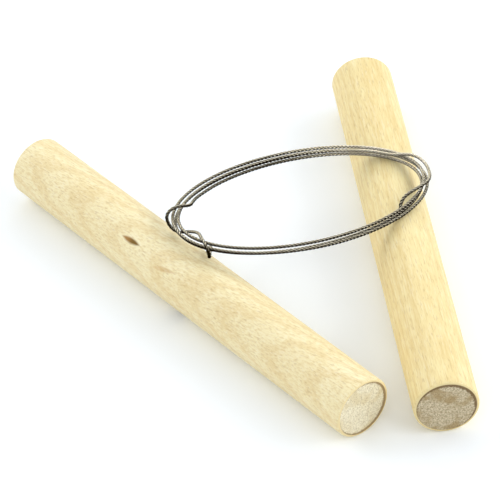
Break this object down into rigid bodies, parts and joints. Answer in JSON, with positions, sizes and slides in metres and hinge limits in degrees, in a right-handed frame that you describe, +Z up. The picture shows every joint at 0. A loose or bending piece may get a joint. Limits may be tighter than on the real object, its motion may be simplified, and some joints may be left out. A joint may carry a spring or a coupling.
{
  "type": "clay cutter",
  "caption": "Wire clay cutter: two plain round wooden handles joined at their middles by one thin stranded steel wire, wound into a loose oval coil.",
  "frame": {"origin": "on the table, under the middle of the box round the two handles", "axes": "+Z up from the table, +Y along the longer side of the footprint, away from the near ends of the handles, +X from the left handle to the right handle"},
  "size_m": [0.103, 0.1222, 0.0203],
  "materials": {
    "handle_wood": "fine-sanded bare hardwood dowel, satin",
    "wire_steel": "stranded stainless steel wire, bright",
    "sleeve_metal": "crimped aluminium sleeve, dull"
  },
  "bodies": {
    "wire": {"wire_coil": "wire_steel", "wire_left_run": "wire_steel", "wire_right_run": "wire_steel", "stop_sleeve_right": "sleeve_metal"},
    "left": {"handle_left": "handle_wood", "wire_left_end": "wire_steel", "stop_sleeve_left": "sleeve_metal"},
    "right": {"handle_right": "handle_wood"}
  },
  "joints": [
    {"name": "left_swing", "type": "hinge", "parent": "wire", "child": "left", "pos_m": [-0.00581, -0.00549, 0.0128], "axis": [0, 0, 1], "range_deg": [-30, 1]},
    {"name": "right_swivel", "type": "hinge", "parent": "wire", "child": "right", "pos_m": [0.03993, 0.00076, 0.015], "axis": [0, 0, 1], "range_deg": [-1, 30]}
  ]
}
